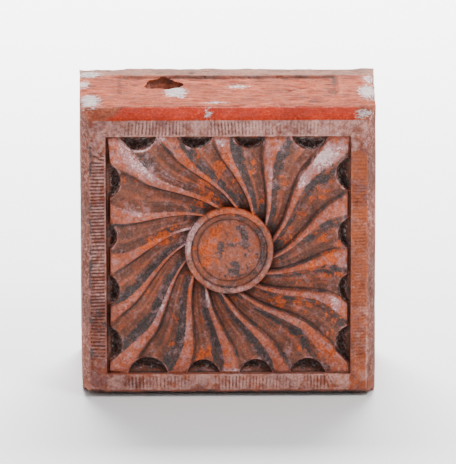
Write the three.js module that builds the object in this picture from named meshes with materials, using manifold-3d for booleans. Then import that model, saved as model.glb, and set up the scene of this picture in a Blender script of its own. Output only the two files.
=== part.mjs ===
// A terracotta ornamental block: one piece of pressed and fired clay.
// Its face is a square sunk panel with a whirling rosette inside a tooled band. Its back is open, with two cells.
// Millimetres, +Z up, the face looks along -Y, and the origin is the middle of the underside.
import * as THREE from "three";
import { mergeVertices } from "three/addons/utils/BufferGeometryUtils.js";
import Module from "manifold-3d";

// Face, from the panel outwards
const PANEL_SIDE = 252;
const BAND_WIDTH = 18;
const SIDE_MARGIN = 8.5;
const TOP_MARGIN = 12;
const BOTTOM_MARGIN = 7;
const CHAMFER_DEPTH = 14;

// Body
const BLOCK_DEPTH = 203;
const MOULD_DRAFT = 4; // each side is wider by this at the back, so that the clay left its mould
const WALL = 38;
const WEB = 25;
const CLAY_BEHIND_CARVING = 33;
const CELL_CORNER_RADIUS = 12;
const BED_RECESS_DEPTH = 3;

// Broken hole in the top bed, over the left cell
const HOLE_FROM_SIDE = 85;
const HOLE_FROM_BACK = 66;
const HOLE_WIDTH = 37;
const HOLE_LENGTH = 50;
const HOLE_THROAT = 0.62; // share of the mouth that is left at the cell's ceiling
const HOLE_CORNERS = 11;

// Ringed boss in the middle of the rosette
const RING_RADIUS = 46;
const RING_WIDTH = 7;
const RING_STEP = 3;
const LEDGE_WIDTH = 6.5;
const LEDGE_FALL = 2.5;
const DOME_RISE = 5.5;
const ARRIS = 1;
const BOSS_SEGMENTS = 56;
const ROSETTE_OFF_X = 1; // the rosette was pressed a little right of the panel's middle, and above it
const ROSETTE_OFF_Z = 1.5;

// Depths behind the face of the band
const RING_DEPTH = 14.5;
const CREST_AT_RING = 17;
const CREST_AT_BAND = 3;
const FLUTE_DROP_AT_RING = 9;
const FLUTE_DROP_AT_BAND = 3.2;
const CROWN = 1.2;
const SLOT_DEPTH = 15;
const SCALLOP_DEPTH = 28;
const SCALLOP_FOOT = 10; // where the scallops' ground meets the band

// Rosette layout
const RIDGES_PER_SIDE = 4;
const RIDGE_COUNT = 4 * RIDGES_PER_SIDE;
const SIDE_STOPS = [1, 0.455, 0, -0.455, -1]; // ridge tips along a side, as shares of half the panel
const RIDGE_HALF_AT_RING = 0.16; // ridge half widths are shares of the pitch between ridges
const RIDGE_HALF_AT_BAND = 0.2;
const RIDGE_HALF_AT_CORNER = 0.31;
const STEEP_SIDE = 0.055;
const SLOT_WIDTH = 4.5;
const SWIRL_TURN = THREE.MathUtils.degToRad(32);
const SWIRL_REACH = 0.945; // the ridges run straight beyond this share of half the panel
const FIRST_RIDGE_ANGLE = THREE.MathUtils.degToRad(135);
const STATIONS = [0, 0.07, 0.15, 0.24, 0.33, 0.43, 0.53, 0.63, 0.73, 0.82, 0.9, 0.96, 1];
const TIP_ROUNDING = 2.5;
const SCALLOP_OUT = 3.5; // the scallops' middles lie this far outside the panel's edge
const SCALLOP_SEGMENTS = 20;

// Worked out
const HALF_PANEL = PANEL_SIDE / 2;
const HALF_BAND = HALF_PANEL + BAND_WIDTH;
const BLOCK_WIDTH = 2 * (HALF_BAND + SIDE_MARGIN);
const BLOCK_HEIGHT = BOTTOM_MARGIN + 2 * HALF_BAND + TOP_MARGIN;
const FACE_Y = -BLOCK_DEPTH / 2;
const BACK_Y = BLOCK_DEPTH / 2;
const PANEL_Z = BOTTOM_MARGIN + HALF_BAND;
const FRONT_WALL = SCALLOP_DEPTH + CLAY_BEHIND_CARVING;
const CELL_HALF_SPAN = BLOCK_WIDTH / 2 - WALL;
const FLUTE_AT_RING = CREST_AT_RING + FLUTE_DROP_AT_RING;
const SWIRL_RADIUS = SWIRL_REACH * HALF_PANEL;
const ROSETTE_START = RING_RADIUS - 2; // the ridges begin a little way under the ring
const CLEAR = 10; // cutters run this far past the faces that they open

const wasm = await Module();
wasm.setup();

// A closed three.js geometry as a solid, with its faces turned outwards.
function solidOf(geometry) {
  const bare = new THREE.BufferGeometry();
  bare.setAttribute("position", geometry.getAttribute("position"));
  bare.setIndex(geometry.index);
  const merged = mergeVertices(bare, 1e-4);
  const vertProperties = new Float32Array(merged.getAttribute("position").array);
  const triVerts = new Uint32Array(merged.index.array);
  const made = new wasm.Manifold(new wasm.Mesh({ numProp: 3, vertProperties, triVerts }));
  if (made.volume() > 0) return made;
  triVerts.reverse();
  return new wasm.Manifold(new wasm.Mesh({ numProp: 3, vertProperties, triVerts }));
}

// A solid from rows of points: each row is a closed loop of the same length, and the two ends are capped by fans.
function loftOf(rows) {
  const count = rows[0].length;
  const positions = rows.flat(2);
  const triangles = [];
  for (let i = 0; i + 1 < rows.length; i++) {
    for (let j = 0; j < count; j++) {
      const a = i * count + j;
      const b = i * count + ((j + 1) % count);
      triangles.push(a, b, a + count, b, b + count, a + count);
    }
  }
  const ends = [
    [0, false],
    [rows.length - 1, true],
  ];
  for (const [row, turned] of ends) {
    const middle = positions.length / 3;
    positions.push(...middleOf(rows[row]));
    for (let j = 0; j < count; j++) {
      const a = row * count + j;
      const b = row * count + ((j + 1) % count);
      triangles.push(...(turned ? [a, b, middle] : [b, a, middle]));
    }
  }
  const geometry = new THREE.BufferGeometry();
  geometry.setAttribute("position", new THREE.Float32BufferAttribute(positions, 3));
  geometry.setIndex(triangles);
  return solidOf(geometry);
}

function middleOf(points) {
  const sum = points.reduce((total, p) => total.map((value, i) => value + p[i]), [0, 0, 0]);
  return sum.map((value) => value / points.length);
}

// A box between two corners.
function boxBetween(low, high) {
  const size = high.map((value, i) => value - low[i]);
  const geometry = new THREE.BoxGeometry(...size);
  geometry.translate(...low.map((value, i) => value + size[i] / 2));
  return solidOf(geometry);
}

// The outside of the block: the band's face, the chamfer round it, and the four sides back to the open end.
function blockBody() {
  const loop = (y, halfWidth, low, high) => [
    [-halfWidth, y, low],
    [halfWidth, y, low],
    [halfWidth, y, high],
    [-halfWidth, y, high],
  ];
  return loftOf([
    loop(FACE_Y, HALF_BAND, BOTTOM_MARGIN, BLOCK_HEIGHT - TOP_MARGIN),
    loop(FACE_Y + CHAMFER_DEPTH, BLOCK_WIDTH / 2, 0, BLOCK_HEIGHT),
    loop(BACK_Y, BLOCK_WIDTH / 2 + MOULD_DRAFT, 0, BLOCK_HEIGHT),
  ]);
}

// The point of the panel's edge that a turn of the rosette meets. Turns are counted in ridges from the top left
// corner, down the left side and on round the panel.
function edgePoint(turn) {
  const along = ((turn % RIDGE_COUNT) + RIDGE_COUNT) % RIDGE_COUNT;
  const side = Math.floor(along / RIDGES_PER_SIDE);
  const local = along - side * RIDGES_PER_SIDE;
  const stop = Math.min(Math.floor(local), RIDGES_PER_SIDE - 1);
  const share = THREE.MathUtils.lerp(SIDE_STOPS[stop], SIDE_STOPS[stop + 1], local - stop);
  const point = new THREE.Vector2(-HALF_PANEL, share * HALF_PANEL);
  return point.rotateAround(new THREE.Vector2(0, 0), (side * Math.PI) / 2);
}

// Where a turn of the rosette passes at a reach: 0 is at the ring, 1 at the ridge tips. past is the share of the
// slot between the tips and the band that has been crossed.
function rosettePoint(turn, reach, past = 0) {
  const edge = edgePoint(turn);
  const edgeRadius = edge.length();
  const tipRadius = edgeRadius * (1 - SLOT_WIDTH / HALF_PANEL);
  const radius =
    THREE.MathUtils.lerp(ROSETTE_START, tipRadius, reach) + past * (edgeRadius - tipRadius);
  const even = FIRST_RIDGE_ANGLE + (turn * 2 * Math.PI) / RIDGE_COUNT;
  const spread = THREE.MathUtils.euclideanModulo(edge.angle() - even + Math.PI, 2 * Math.PI) - Math.PI;
  const outward = (radius - ROSETTE_START) / (edgeRadius - ROSETTE_START);
  const inside = Math.max(0, (SWIRL_RADIUS - radius) / (SWIRL_RADIUS - RING_RADIUS));
  const angle = even + spread * outward - SWIRL_TURN * inside * inside;
  return [
    ROSETTE_OFF_X * (1 - outward) + radius * Math.cos(angle),
    PANEL_Z + ROSETTE_OFF_Z * (1 - outward) + radius * Math.sin(angle),
  ];
}

// Half the width of a ridge as a share of the pitch; the ridges that end in a corner broaden.
function ridgeHalf(ridge, reach) {
  const atBand = ridge % RIDGES_PER_SIDE === 0 ? RIDGE_HALF_AT_CORNER : RIDGE_HALF_AT_BAND;
  return THREE.MathUtils.lerp(RIDGE_HALF_AT_RING, atBand, reach);
}

function crestDepth(reach) {
  return CREST_AT_BAND + (CREST_AT_RING - CREST_AT_BAND) * (1 - reach) ** 1.8;
}

function fluteDrop(reach) {
  return THREE.MathUtils.lerp(FLUTE_DROP_AT_RING, FLUTE_DROP_AT_BAND, reach ** 3);
}

// The section from one ridge's crest to the next one: pairs of share of the pitch and depth. Each ridge falls
// steeply on the near side, and the flute then climbs slowly to the next ridge, like overlapping pleats.
function section(ridge, reach) {
  const near = ridgeHalf(ridge, reach);
  const far = ridgeHalf(ridge + 1, reach);
  const crest = crestDepth(reach);
  const drop = fluteDrop(reach);
  const rounded = reach === 1 ? TIP_ROUNDING : 0;
  const foot = near + STEEP_SIDE;
  const climb = 1 - far - foot;
  return [
    [0, crest + rounded],
    [0.65 * near, crest + 0.35 * CROWN + rounded],
    [near, crest + CROWN + rounded],
    [foot, crest + 0.92 * drop],
    [foot + 0.18 * climb, crest + drop],
    [foot + 0.42 * climb, crest + 0.93 * drop],
    [foot + 0.64 * climb, crest + 0.72 * drop],
    [foot + 0.84 * climb, crest + 0.42 * drop],
    [1 - far, crest + CROWN + rounded],
    [1 - 0.6 * far, crest + 0.3 * CROWN + rounded],
  ];
}

// Everything in front of the carved panel, as one solid to cut away: ridges, flutes and the slot round them.
function panelCutter() {
  const row = (reach, past, depthOf) => {
    const points = [];
    for (let ridge = 0; ridge < RIDGE_COUNT; ridge++) {
      for (const [share, depth] of section(ridge, reach)) {
        const [x, z] = rosettePoint(ridge + share, reach, past);
        points.push([x, FACE_Y + depthOf(depth), z]);
      }
    }
    return points;
  };
  return loftOf([
    row(0, 0, () => FLUTE_AT_RING + CLEAR),
    ...STATIONS.map((reach) => row(reach, 0, (depth) => depth)),
    row(1, 0.3, () => SLOT_DEPTH),
    row(1, 1, () => SLOT_DEPTH),
    row(1, 1, () => -CLEAR),
  ]);
}

// The pocket between two ridge tips: a steep wall under the rim, then a ground that climbs again to the band.
function scallopCutter(ridge) {
  const near = ridgeHalf(ridge, 1);
  const far = ridgeHalf(ridge + 1, 1);
  const middle = edgePoint(ridge + (near + 1 - far) / 2);
  const halfChord = edgePoint(ridge + near).distanceTo(edgePoint(ridge + 1 - far)) / 2;
  const radius = Math.hypot(halfChord, SCALLOP_OUT);
  const quarterTurns = Math.floor(ridge / RIDGES_PER_SIDE);
  const outwards = new THREE.Vector2(-SCALLOP_OUT, 0);
  outwards.rotateAround(new THREE.Vector2(0, 0), (quarterTurns * Math.PI) / 2);
  middle.add(outwards);
  const profile = [
    [0, SCALLOP_FOOT],
    [0.25 * radius, THREE.MathUtils.lerp(SCALLOP_FOOT, SCALLOP_DEPTH, 0.3)],
    [0.5 * radius, THREE.MathUtils.lerp(SCALLOP_FOOT, SCALLOP_DEPTH, 0.85)],
    [0.68 * radius, SCALLOP_DEPTH],
    [0.86 * radius, THREE.MathUtils.lerp(SCALLOP_FOOT, SCALLOP_DEPTH, 0.8)],
    [0.97 * radius, THREE.MathUtils.lerp(SCALLOP_FOOT, SCALLOP_DEPTH, 0.25)],
    [radius, CREST_AT_BAND + FLUTE_DROP_AT_BAND],
    [radius, -CLEAR],
    [0, -CLEAR],
  ];
  const points = profile.map(([r, depth]) => new THREE.Vector2(r, FACE_Y + depth));
  const geometry = new THREE.LatheGeometry(points, SCALLOP_SEGMENTS);
  geometry.translate(middle.x + ROSETTE_OFF_X, 0, PANEL_Z + middle.y + ROSETTE_OFF_Z);
  return solidOf(geometry);
}

// The ring, the step and ledge inside it, and the low dome.
function boss() {
  const innerRadius = RING_RADIUS - RING_WIDTH;
  const domeRadius = innerRadius - LEDGE_WIDTH;
  const ledgeDepth = RING_DEPTH + RING_STEP;
  const domeFoot = ledgeDepth + LEDGE_FALL;
  const rootDepth = FLUTE_AT_RING + CLEAR + 1;
  const profile = [
    [0, rootDepth],
    [RING_RADIUS, rootDepth],
    [RING_RADIUS, RING_DEPTH + ARRIS],
    [RING_RADIUS - ARRIS, RING_DEPTH],
    [innerRadius + ARRIS, RING_DEPTH],
    [innerRadius, RING_DEPTH + ARRIS],
    [innerRadius, ledgeDepth],
    [domeRadius + ARRIS, domeFoot],
  ];
  for (const share of [0.97, 0.8, 0.58, 0.3]) {
    profile.push([share * domeRadius, domeFoot - DOME_RISE * (1 - share * share)]);
  }
  profile.push([0, domeFoot - DOME_RISE]);
  const points = profile.map(([r, depth]) => new THREE.Vector2(r, FACE_Y + depth));
  const geometry = new THREE.LatheGeometry(points, BOSS_SEGMENTS);
  geometry.translate(ROSETTE_OFF_X, 0, PANEL_Z + ROSETTE_OFF_Z);
  return solidOf(geometry);
}

// One of the two cells that open to the back, with rounded corners. side is -1 for the left one, 1 for the right.
function cellCutter(side) {
  const width = CELL_HALF_SPAN - WEB / 2;
  const height = BLOCK_HEIGHT - 2 * WALL;
  const r = CELL_CORNER_RADIUS;
  const outline = new THREE.Shape();
  outline.moveTo(r, 0);
  outline.lineTo(width - r, 0);
  outline.absarc(width - r, r, r, -Math.PI / 2, 0);
  outline.lineTo(width, height - r);
  outline.absarc(width - r, height - r, r, 0, Math.PI / 2);
  outline.lineTo(r, height);
  outline.absarc(r, height - r, r, Math.PI / 2, Math.PI);
  outline.lineTo(0, r);
  outline.absarc(r, r, r, Math.PI, 1.5 * Math.PI);
  const depth = BLOCK_DEPTH - FRONT_WALL + CLEAR;
  const geometry = new THREE.ExtrudeGeometry(outline, { depth, bevelEnabled: false, curveSegments: 4 });
  geometry.rotateX(Math.PI / 2);
  geometry.translate(side > 0 ? WEB / 2 : -WEB / 2 - width, BACK_Y + CLEAR, WALL);
  return solidOf(geometry);
}

// The shallow recess of the top bed, which keeps a wall's width of bed all round it.
function bedRecess() {
  return boxBetween(
    [-CELL_HALF_SPAN, FACE_Y + FRONT_WALL, BLOCK_HEIGHT - BED_RECESS_DEPTH],
    [CELL_HALF_SPAN, BACK_Y - WALL, BLOCK_HEIGHT + CLEAR],
  );
}

// The broken hole: an uneven funnel from the recess through to the left cell.
function brokenHole() {
  const middleX = -BLOCK_WIDTH / 2 + HOLE_FROM_SIDE;
  const middleY = BACK_Y - HOLE_FROM_BACK;
  const row = (z, share) => {
    const points = [];
    for (let i = 0; i < HOLE_CORNERS; i++) {
      const angle = (2 * Math.PI * i) / HOLE_CORNERS;
      const uneven = share * (1 + 0.1 * Math.cos(3 * angle + 1) + 0.07 * Math.cos(5 * angle));
      const x = middleX + 0.5 * HOLE_WIDTH * uneven * Math.cos(angle);
      points.push([x, middleY + 0.5 * HOLE_LENGTH * uneven * Math.sin(angle), z]);
    }
    return points;
  };
  const mouth = BLOCK_HEIGHT - BED_RECESS_DEPTH;
  const ceiling = BLOCK_HEIGHT - WALL;
  return loftOf([
    row(ceiling - CLEAR, HOLE_THROAT),
    row(ceiling, HOLE_THROAT),
    row(mouth - 0.35 * WALL, 0.5 + 0.5 * HOLE_THROAT),
    row(mouth, 1),
    row(BLOCK_HEIGHT + CLEAR, 1),
  ]);
}

function terracottaBlock() {
  const panelRoom = boxBetween(
    [-HALF_PANEL, FACE_Y - 2 * CLEAR, PANEL_Z - HALF_PANEL],
    [HALF_PANEL, FACE_Y + FRONT_WALL, PANEL_Z + HALF_PANEL],
  );
  let clay = blockBody().subtract(panelCutter());
  for (let ridge = 0; ridge < RIDGE_COUNT; ridge++) {
    clay = clay.subtract(scallopCutter(ridge).intersect(panelRoom));
  }
  clay = clay.add(boss());
  for (const side of [-1, 1]) {
    clay = clay.subtract(cellCutter(side));
  }
  return clay.subtract(bedRecess()).subtract(brokenHole());
}

// A solid as a three.js geometry with flat shading.
function geometryOf(solid) {
  const mesh = solid.getMesh();
  const geometry = new THREE.BufferGeometry();
  geometry.setAttribute("position", new THREE.BufferAttribute(mesh.vertProperties, 3));
  geometry.setIndex(new THREE.BufferAttribute(mesh.triVerts, 1));
  const flat = geometry.toNonIndexed();
  flat.computeVertexNormals();
  return flat;
}

const firedClay = new THREE.MeshStandardMaterial({ color: 0xb4634a, roughness: 0.9, metalness: 0 });
const block = new THREE.Mesh(geometryOf(terracottaBlock()), firedClay);
block.name = "terracotta_block";

const part = new THREE.Group();
part.add(block);

export default part;
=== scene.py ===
import math

import bpy
import numpy as np
from mathutils import Matrix, Vector, kdtree


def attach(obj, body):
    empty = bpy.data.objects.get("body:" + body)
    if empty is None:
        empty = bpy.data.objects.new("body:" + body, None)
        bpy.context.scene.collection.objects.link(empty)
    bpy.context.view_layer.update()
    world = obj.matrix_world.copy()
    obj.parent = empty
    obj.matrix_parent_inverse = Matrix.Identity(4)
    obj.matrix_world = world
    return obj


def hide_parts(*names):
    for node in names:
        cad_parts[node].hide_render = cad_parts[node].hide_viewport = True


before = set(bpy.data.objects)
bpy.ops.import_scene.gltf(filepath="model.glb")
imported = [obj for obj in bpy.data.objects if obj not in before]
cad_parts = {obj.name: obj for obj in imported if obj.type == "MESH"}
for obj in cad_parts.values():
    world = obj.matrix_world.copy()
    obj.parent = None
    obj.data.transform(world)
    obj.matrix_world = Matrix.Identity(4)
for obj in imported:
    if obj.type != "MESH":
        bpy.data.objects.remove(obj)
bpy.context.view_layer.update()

# The terracotta block. Lengths are in millimetres until the clay is put in its place, in metres.
MM = 0.001

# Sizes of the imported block, as its CAD source gives them
HALF_PANEL = 126.0
HALF_BAND = 144.0
PANEL_Z = 151.0
FACE_Y = -101.5
BACK_Y = 101.5
BLOCK_DEPTH = BACK_Y - FACE_Y
BLOCK_HEIGHT = 307.0
HALF_WIDTH = 152.5
BAND_WIDTH = 18
SIDE_MARGIN = 8.5
TOP_MARGIN = 12
BOTTOM_MARGIN = 7
MOULD_DRAFT = 4.0
BACK_HALF_WIDTH = HALF_WIDTH + MOULD_DRAFT
CHAMFER_DEPTH = 14.0
FRONT_WALL = 61.0
WALL = 38.0
WEB = 25.0
CELL_CORNER = 12.0
RECESS_DEPTH = 3.0
RING_RADIUS = 46.0
DOME_RADIUS = 32.5
DOME_FOOT = 20.0
DOME_RISE = 5.5
ROSETTE_START = 44.0
TIP_RADIUS = 122.0
ROSETTE_OFF = (1.0, 1.5)
SWIRL_TURN = math.radians(32)
SWIRL_RADIUS = 0.945 * HALF_PANEL
FIRST_RIDGE_ANGLE = math.radians(135)
# Where each pocket starts and ends, as shares of half the side: left side from the top down, bottom side from the
# left, right side from the bottom up, top side from the right
POCKETS = np.array([
    [(0.770, 0.475), (0.270, 0.045), (-0.165, -0.430), (-0.600, -0.900)],
    [(0.825, 0.505), (0.340, 0.075), (-0.090, -0.360), (-0.510, -0.795)],
    [(0.910, 0.605), (0.415, 0.165), (-0.050, -0.305), (-0.535, -0.820)],
    [(0.825, 0.520), (0.310, 0.040), (-0.125, -0.395), (-0.585, -0.885)],
])
TIPS = (POCKETS[:, :-1, 1] + POCKETS[:, 1:, 0]) / 2
SIDE_STOPS = np.concatenate([np.ones((4, 1)), TIPS, -np.ones((4, 1))], axis=1)
# Half of a ridge's tip after and before each pocket, as shares of the way from ridge to ridge
WAY = SIDE_STOPS[:, :-1] - SIDE_STOPS[:, 1:]
TIP_BEFORE = ((SIDE_STOPS[:, :-1] - POCKETS[:, :, 0]) / WAY).ravel()
TIP_AFTER = ((POCKETS[:, :, 1] - SIDE_STOPS[:, 1:]) / WAY).ravel()
SCALLOP_FOOT = 10.0
SCALLOP_OUT = 3.5
CREST_AT_RING = 17.0
CREST_AT_BAND = 3.0
RIDGES = 16
STEEP_SIDE = 0.055

# How the clay sheet is cut up: columns run round the block, rows run from the dome out to the back
COLUMNS_PER_RIDGE = 40
COLUMNS = RIDGES * COLUMNS_PER_RIDGE


def smooth(low, high, x):
    t = np.clip((x - low) / (high - low), 0, 1)
    return t * t * (3 - 2 * t)


def lerp(a, b, t):
    return a + (b - a) * t


# Value noise in three dimensions, the same on every run

def lattice(ix, iy, iz, seed):
    n = (ix * 374761393 + iy * 668265263 + iz * 2147483647 + seed * 1274126177).astype(np.int64)
    n = (n ^ (n >> 13)) * 1274126177
    n = n ^ (n >> 16)
    return (n & 0xFFFFFF) / float(0xFFFFFF) * 2 - 1


def clay_noise(points, size, seed):
    """Smooth noise between -1 and 1 at each point, with lumps of about the given size in millimetres."""
    p = points / size
    cell = np.floor(p).astype(np.int64)
    f = p - cell
    f = f * f * (3 - 2 * f)
    total = np.zeros(len(points))
    for dx in (0, 1):
        for dy in (0, 1):
            for dz in (0, 1):
                weight = (
                    (f[:, 0] if dx else 1 - f[:, 0])
                    * (f[:, 1] if dy else 1 - f[:, 1])
                    * (f[:, 2] if dz else 1 - f[:, 2])
                )
                total += weight * lattice(cell[:, 0] + dx, cell[:, 1] + dy, cell[:, 2] + dz, seed)
    return total


def rough_noise(points, size, seed, layers=3):
    total = np.zeros(len(points))
    strength = 1.0
    for layer in range(layers):
        total += strength * clay_noise(points, size / 2 ** layer, seed + 17 * layer)
        strength *= 0.5
    return total / 1.6


# The carved panel: ridges whirl round a ringed boss

def turned(x, z, quarters):
    """Points turned by quarter turns, counter-clockwise as seen from the front."""
    c = np.round(np.cos(quarters * np.pi / 2))
    s = np.round(np.sin(quarters * np.pi / 2))
    return x * c - z * s, x * s + z * c


def side_and_share(turn):
    along = np.mod(turn, RIDGES)
    side = np.floor(along / 4)
    local = along - 4 * side
    stop = np.minimum(np.floor(local), 3).astype(int)
    stops = SIDE_STOPS[side.astype(int)]
    row = np.arange(len(stop))
    share = lerp(stops[row, stop], stops[row, stop + 1], local - stop)
    return side, share


def edge_point(turn):
    side, share = side_and_share(turn)
    return turned(np.full_like(share, -HALF_PANEL), share * HALF_PANEL, side)


# How wide each ridge is against the rest, counted from the top left corner down the left side
RIDGE_WIDTH = np.array([1.02, 0.95, 0.92, 0.82, 0.78, 1.0, 0.95, 0.85, 0.88, 0.85, 0.8, 0.78, 1.0, 0.9, 0.85, 0.8])


def crest_halves(ridge, reach):
    """Half widths of the crest before a flute and of the crest after it, as shares of the way between them."""
    here = np.mod(ridge, RIDGES).astype(int)
    after = np.mod(here + 1, RIDGES)
    near = lerp(0.14 * RIDGE_WIDTH[here], 0.96 * TIP_BEFORE[here], reach ** 3)
    far = lerp(0.14 * RIDGE_WIDTH[after], 0.96 * TIP_AFTER[here], reach ** 3)
    return near, far


def turn_of(column, reach):
    """The turn that a column follows, with more columns at the arris and foot of each ridge."""
    ridge = np.floor(column / COLUMNS_PER_RIDGE)
    k = column - COLUMNS_PER_RIDGE * ridge
    near, far = crest_halves(ridge, reach)
    foot = near + STEEP_SIDE
    share = np.select(
        [k < 8, k < 12, k < 32],
        [k / 8 * near, lerp(near, foot, (k - 8) / 4), lerp(foot, 1 - far, (k - 12) / 20)],
        lerp(1 - far, 1.0, (k - 32) / 8),
    )
    return ridge + share


def slot_width(turn):
    """The tips stop short of the band by this much: well short at the left, hardly at all at the top."""
    stops = [0, 0.3, 3.6, 4, 4.4, 7.6, 8, 8.4, 11.6, 12, 12.4, 15.7, 16]
    widths = [2.6, 4.6, 4.6, 3.2, 1.8, 1.6, 1.8, 3.6, 3.4, 2.0, 1.2, 1.2, 2.6]
    return np.interp(np.mod(turn, RIDGES), stops, widths)


def rosette_point(turn, reach):
    ex, ez = edge_point(turn)
    edge_radius = np.hypot(ex, ez)
    tip_radius = edge_radius * (1 - slot_width(turn) / HALF_PANEL)
    radius = lerp(ROSETTE_START, tip_radius, reach)
    even = FIRST_RIDGE_ANGLE + turn * 2 * np.pi / RIDGES
    spread = np.mod(np.arctan2(ez, ex) - even + np.pi, 2 * np.pi) - np.pi
    outward = (radius - ROSETTE_START) / (edge_radius - ROSETTE_START)
    inside = np.clip((SWIRL_RADIUS - radius) / (SWIRL_RADIUS - RING_RADIUS), 0, 1)
    angle = even + spread * outward - SWIRL_TURN * inside ** 2
    x = ROSETTE_OFF[0] * (1 - outward) + radius * np.cos(angle)
    z = ROSETTE_OFF[1] * (1 - outward) + radius * np.sin(angle)
    return x, z


def scallop(ridge):
    """Middle and radius of the pocket after each ridge."""
    here = np.mod(ridge, RIDGES).astype(int)
    mx, mz = edge_point(ridge + (TIP_BEFORE[here] + 1 - TIP_AFTER[here]) / 2)
    ax, az = edge_point(ridge + TIP_BEFORE[here])
    bx, bz = edge_point(ridge + 1 - TIP_AFTER[here])
    radius = np.hypot(np.hypot(ax - bx, az - bz) / 2, SCALLOP_OUT)
    side = np.floor(np.mod(ridge, RIDGES) / 4)
    ox, oz = turned(np.full_like(radius, -SCALLOP_OUT), np.zeros_like(radius), side)
    return mx + ox, mz + oz, radius


def scallop_wall(share):
    """Depth of a pocket's wall under its rim, by the share of the pocket's radius."""
    return np.interp(share, [0.55, 0.65, 0.76, 0.87, 0.96, 1], [22, 21, 18.5, 14.5, 10, 6.2])


def scallop_foot(from_band):
    """Depth of a pocket's ground, which climbs from its deepest part to the band."""
    return np.interp(from_band, [0, 2, 4.5, 7, 9.5], [SCALLOP_FOOT, 12, 15.5, 19, 22])


def reach_of_rim(column):
    """How far out each column runs before it meets a pocket or the slot."""
    ridge = np.floor(column / COLUMNS_PER_RIDGE)
    mx, mz, radius = scallop(ridge)
    low = np.full_like(column, 0.5)
    high = np.ones_like(column)
    x, z = rosette_point(turn_of(column, high), high)
    open_end = np.hypot(x - mx, z - mz) >= radius
    for _ in range(26):
        mid = (low + high) / 2
        x, z = rosette_point(turn_of(column, mid), mid)
        hit = np.hypot(x - mx, z - mz) < radius
        high = np.where(hit, mid, high)
        low = np.where(hit, low, mid)
    return np.where(open_end, 1.0, high)


# How each ridge and the flute after it differ from the rest, counted from the top left corner down the left side
RIDGE_RISE = np.array([0.5, 0.2, 0.3, 0.0, 0.2, 0.0, -0.2, 0.1, 0.6, 0.0, -0.3, 0.0, 0.4, -0.1, -0.4, 0.3])
CREASE_PLACE = np.array([0.5, 0.62, 0.45, 0.36, 0.4, 0.5, 0.42, 0.6, 0.38, 0.55, 0.45, 0.5, 0.42, 0.6, 0.5, 0.45])
CREASE_RISE = np.array([0.7, 1.0, 0.5, 1.1, 0.7, 1.0, 1.1, 0.6, 1.2, 0.7, 1.0, 0.7, 1.4, 1.2, 1.3, 1.3])
SOOT = np.array([0.25, 0.1, 0.2, 0.9, 1.0, 1.0, 1.0, 0.8, 0.5, 0.45, 0.5, 0.45, 0.6, 0.7, 0.9, 0.8])


def field_depth(column, reach):
    """Depth of the carved field, and where it is crest, flute and sooted slope, with painted shade along the foot of
    each ridge's steep side.
    """
    ridge = np.floor(column / COLUMNS_PER_RIDGE)
    share = turn_of(column, reach) - ridge
    here = np.mod(ridge, RIDGES).astype(int)
    after = np.mod(here + 1, RIDGES)
    near, far = crest_halves(ridge, reach)
    foot = near + STEEP_SIDE
    q = np.clip((share - foot) / (1 - far - foot), 0, 1)
    crest = CREST_AT_BAND + (CREST_AT_RING - CREST_AT_BAND) * (1 - reach) ** 1.8
    drop = lerp(9.0, 3.2, reach ** 3)
    crown = 2.3
    rise = lerp(RIDGE_RISE[here], RIDGE_RISE[after], smooth(0.3, 0.7, share)) * smooth(0.05, 0.4, reach)
    on_near = crown * np.clip(share / near, 0, 1) ** 2
    steep = np.clip((share - near) / (foot - near), 0, 1)
    on_steep = lerp(crown, drop, smooth(-0.15, 1.0, steep) ** 0.9)
    in_flute = crown * q + (drop * 1.05 - crown * q) * (1 - q ** 3.0)
    in_flute = np.where(q > 0, in_flute, drop)
    on_far = crown * np.clip((1 - share) / far, 0, 1) ** 2
    depth = np.select([share < near, share < foot, share < 1 - far], [on_near, on_steep, in_flute], on_far)
    length = smooth(0.06, 0.3, reach) * (1 - 0.75 * smooth(0.75, 1, reach))
    crease = CREASE_RISE[here] * length * np.exp(-((q - CREASE_PLACE[here]) / 0.085) ** 2)
    valley = 1.1 * length * np.exp(-((q - 0.8) / 0.1) ** 2)
    groove = 0.8 * (1 - 0.6 * reach) * np.exp(-((share - foot - 0.02) / 0.035) ** 2)
    depth = crest + depth - crease + valley + groove - rise
    around = np.mod(ridge + share, RIDGES) * 2 * np.pi / RIDGES
    pulled = np.stack([33 * np.cos(around), 33 * np.sin(around), reach * 7], 1)
    streak = clay_noise(pulled, 1, 81) * 0.65 + clay_noise(pulled * np.array([2.1, 2.1, 1.3]), 1, 82) * 0.5
    depth += 0.34 * streak * smooth(0.02, 0.1, reach)
    depth += 1.6 * smooth(0.955, 1.0, reach) * np.where((share < near) | (share > 1 - far), 1, 0.3)
    crest_mark = np.maximum(1 - smooth(0.75, 1.05, share / near), smooth(0.05, 0.5, (share - 1 + far) / far))
    flute_mark = np.clip(smooth(0, 0.02, share - near) * (1 - smooth(0.1, 0.5, (share - 1 + far) / far)), 0, 1)
    flute_mark *= 1 - 0.5 * np.exp(-((q - CREASE_PLACE[here]) / 0.09) ** 2)
    window = smooth(0.6, 0.78, q) * (1 - smooth(0.15, 0.45, (share - 1 + far) / far))
    # Soot in the flute before the next ridge, and painted shade: a dark line along the foot of each ridge's steep
    # side
    soot_and_shade_mark = SOOT[after] * window + 0.45 * np.exp(-((share - foot + 0.01) / 0.035) ** 2)
    return depth, crest_mark, flute_mark, soot_and_shade_mark, 0.5 + 0.5 * streak


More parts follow.
